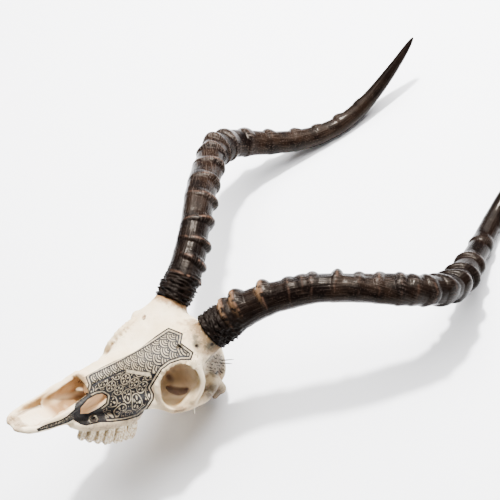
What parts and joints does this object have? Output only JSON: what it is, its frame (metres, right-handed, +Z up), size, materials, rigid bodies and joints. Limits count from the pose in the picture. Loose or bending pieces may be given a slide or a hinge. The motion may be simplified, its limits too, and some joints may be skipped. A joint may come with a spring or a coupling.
{
  "type": "impala skull with horns",
  "caption": "Upper skull of an impala ram with ringed S-curved horn sheaths and cheek teeth, bone inked with a pattern on one side, lying at rest.",
  "frame": {"origin": "centre of the bottom of the whole object's box, on the surface that it rests on", "axes": "+Y from the nose to the horn tips, +X to the animal's left, +Z up; the middle plane of the skull is X = 0"},
  "size_m": [0.3654, 0.6415, 0.1813],
  "materials": {
    "bone": "dry bleached bone, satin, with black ink on the left half",
    "horn": "polished dark keratin, ringed and finely striated",
    "enamel": "stained tooth enamel, half gloss"
  },
  "bodies": {
    "root": {"skull": "bone", "horn_sheath_left": "horn", "horn_sheath_right": "horn", "premolar_2_left": "enamel", "premolar_2_right": "enamel", "premolar_3_left": "enamel", "premolar_3_right": "enamel", "premolar_4_left": "enamel", "premolar_4_right": "enamel", "molar_1_left": "enamel", "molar_1_right": "enamel", "molar_2_left": "enamel", "molar_2_right": "enamel", "molar_3_left": "enamel", "molar_3_right": "enamel"}
  },
  "joints": []
}
